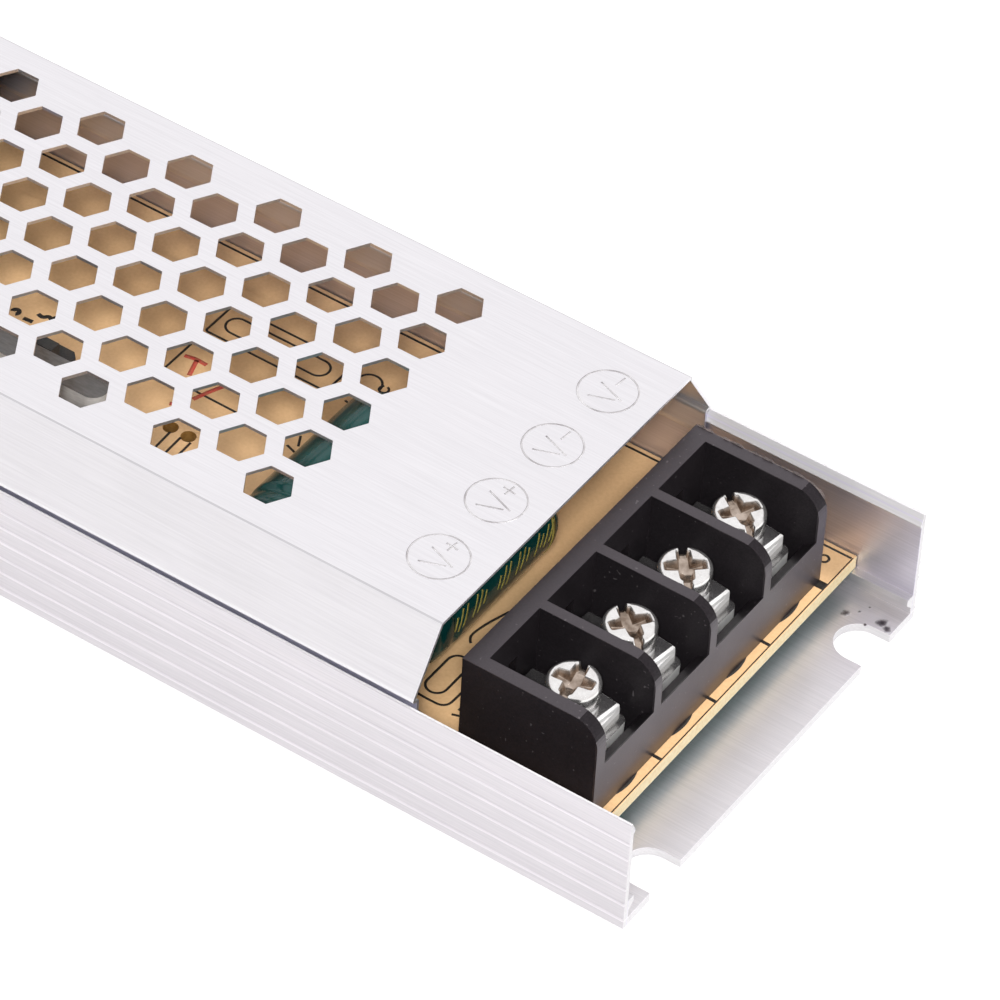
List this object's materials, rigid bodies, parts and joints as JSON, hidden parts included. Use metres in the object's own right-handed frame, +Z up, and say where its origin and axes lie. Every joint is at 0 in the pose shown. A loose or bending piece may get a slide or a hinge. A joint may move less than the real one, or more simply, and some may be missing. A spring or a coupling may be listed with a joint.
{
  "type": "led power supply",
  "caption": "Slim enclosed LED power supply: aluminium channel with a honeycomb cover, a circuit board inside and screw barrier terminals at both ends.",
  "frame": {"origin": "centre of the footprint, on the underside of the channel", "axes": "+X along the channel to the output end, +Y across it, +Z up through the cover"},
  "size_m": [0.2176, 0.0518, 0.0217],
  "materials": {
    "extruded_aluminium": "satin",
    "sheet_aluminium": "satin",
    "insulating_film": "satin",
    "board_laminate": "satin",
    "black_moulding": "satin",
    "tinned_brass": "polished",
    "plated_steel": "polished",
    "green_sleeve": "gloss",
    "dark_sleeve": "gloss",
    "bar_aluminium": "satin",
    "semiconductor_moulding": "satin",
    "spring_steel": "satin",
    "ferrite": "matte",
    "bobbin_moulding": "satin",
    "winding_tape": "gloss",
    "enamelled_copper": "gloss",
    "film_box": "satin",
    "blue_coating": "satin",
    "green_coating": "satin",
    "fuse_moulding": "satin",
    "spacer_brass": "satin"
  },
  "bodies": {
    "case": {"base_channel": "extruded_aluminium", "top_cover": "sheet_aluminium", "insulation_sheet": "insulating_film", "circuit_board": "board_laminate", "output_terminal_housing": "black_moulding", "input_terminal_housing": "black_moulding", "output_contact_1": "tinned_brass", "output_contact_2": "tinned_brass", "output_contact_3": "tinned_brass", "output_contact_4": "tinned_brass", "input_contact_1": "tinned_brass", "input_contact_2": "tinned_brass", "input_contact_3": "tinned_brass", "output_capacitor_1": "green_sleeve", "output_capacitor_2": "green_sleeve", "bulk_capacitor_1": "dark_sleeve", "bulk_capacitor_2": "dark_sleeve", "output_heat_sink": "bar_aluminium", "switch_heat_sink": "bar_aluminium", "output_rectifier": "semiconductor_moulding", "switching_transistor_1": "semiconductor_moulding", "switching_transistor_2": "semiconductor_moulding", "bridge_rectifier": "semiconductor_moulding", "optocoupler": "semiconductor_moulding", "controller_chip": "semiconductor_moulding", "heat_sink_clips": "spring_steel", "transformer_core": "ferrite", "choke_core": "ferrite", "transformer_bobbin": "bobbin_moulding", "transformer_winding": "winding_tape", "choke_winding": "enamelled_copper", "x_capacitor": "film_box", "y_capacitor": "blue_coating", "thermistor": "green_coating", "fuse": "fuse_moulding", "board_spacers": "spacer_brass", "board_screws": "plated_steel"},
    "output_clamp_1": {"output_clamp_1": "plated_steel", "output_washer_1": "plated_steel"},
    "output_screw_1": {"output_screw_1": "plated_steel"},
    "output_clamp_2": {"output_clamp_2": "plated_steel", "output_washer_2": "plated_steel"},
    "output_screw_2": {"output_screw_2": "plated_steel"},
    "output_clamp_3": {"output_clamp_3": "plated_steel", "output_washer_3": "plated_steel"},
    "output_screw_3": {"output_screw_3": "plated_steel"},
    "output_clamp_4": {"output_clamp_4": "plated_steel", "output_washer_4": "plated_steel"},
    "output_screw_4": {"output_screw_4": "plated_steel"},
    "input_clamp_1": {"input_clamp_1": "plated_steel", "input_washer_1": "plated_steel"},
    "input_screw_1": {"input_screw_1": "plated_steel"},
    "input_clamp_2": {"input_clamp_2": "plated_steel", "input_washer_2": "plated_steel"},
    "input_screw_2": {"input_screw_2": "plated_steel"},
    "input_clamp_3": {"input_clamp_3": "plated_steel", "input_washer_3": "plated_steel"},
    "input_screw_3": {"input_screw_3": "plated_steel"}
  },
  "joints": [
    {"name": "output_clamp_1_lift", "type": "slide", "parent": "case", "child": "output_clamp_1", "axis": [0, 0, 1], "range_m": [0, 0.0025]},
    {"name": "output_screw_1_turn", "type": "hinge", "parent": "output_clamp_1", "child": "output_screw_1", "pos_m": [0.09455, -0.01425, 0.0128], "axis": [0, 0, 1], "range_deg": [0, 1800]},
    {"name": "output_clamp_2_lift", "type": "slide", "parent": "case", "child": "output_clamp_2", "axis": [0, 0, 1], "range_m": [0, 0.0025]},
    {"name": "output_screw_2_turn", "type": "hinge", "parent": "output_clamp_2", "child": "output_screw_2", "pos_m": [0.09455, -0.00475, 0.0128], "axis": [0, 0, 1], "range_deg": [0, 1800]},
    {"name": "output_clamp_3_lift", "type": "slide", "parent": "case", "child": "output_clamp_3", "axis": [0, 0, 1], "range_m": [0, 0.0025]},
    {"name": "output_screw_3_turn", "type": "hinge", "parent": "output_clamp_3", "child": "output_screw_3", "pos_m": [0.09455, 0.00475, 0.0128], "axis": [0, 0, 1], "range_deg": [0, 1800]},
    {"name": "output_clamp_4_lift", "type": "slide", "parent": "case", "child": "output_clamp_4", "axis": [0, 0, 1], "range_m": [0, 0.0025]},
    {"name": "output_screw_4_turn", "type": "hinge", "parent": "output_clamp_4", "child": "output_screw_4", "pos_m": [0.09455, 0.01425, 0.0128], "axis": [0, 0, 1], "range_deg": [0, 1800]},
    {"name": "input_clamp_1_lift", "type": "slide", "parent": "case", "child": "input_clamp_1", "axis": [0, 0, 1], "range_m": [0, 0.0025]},
    {"name": "input_screw_1_turn", "type": "hinge", "parent": "input_clamp_1", "child": "input_screw_1", "pos_m": [-0.09455, 0.0095, 0.0128], "axis": [0, 0, 1], "range_deg": [0, 1800]},
    {"name": "input_clamp_2_lift", "type": "slide", "parent": "case", "child": "input_clamp_2", "axis": [0, 0, 1], "range_m": [0, 0.0025]},
    {"name": "input_screw_2_turn", "type": "hinge", "parent": "input_clamp_2", "child": "input_screw_2", "pos_m": [-0.09455, 0, 0.0128], "axis": [0, 0, 1], "range_deg": [0, 1800]},
    {"name": "input_clamp_3_lift", "type": "slide", "parent": "case", "child": "input_clamp_3", "axis": [0, 0, 1], "range_m": [0, 0.0025]},
    {"name": "input_screw_3_turn", "type": "hinge", "parent": "input_clamp_3", "child": "input_screw_3", "pos_m": [-0.09455, -0.0095, 0.0128], "axis": [0, 0, 1], "range_deg": [0, 1800]}
  ],
  "couplings": [
    {"joint": "output_screw_1_turn", "follows": "output_clamp_1_lift", "rad_per_m": 12566},
    {"joint": "output_screw_2_turn", "follows": "output_clamp_2_lift", "rad_per_m": 12566},
    {"joint": "output_screw_3_turn", "follows": "output_clamp_3_lift", "rad_per_m": 12566},
    {"joint": "output_screw_4_turn", "follows": "output_clamp_4_lift", "rad_per_m": 12566},
    {"joint": "input_screw_1_turn", "follows": "input_clamp_1_lift", "rad_per_m": 12566},
    {"joint": "input_screw_2_turn", "follows": "input_clamp_2_lift", "rad_per_m": 12566},
    {"joint": "input_screw_3_turn", "follows": "input_clamp_3_lift", "rad_per_m": 12566}
  ]
}
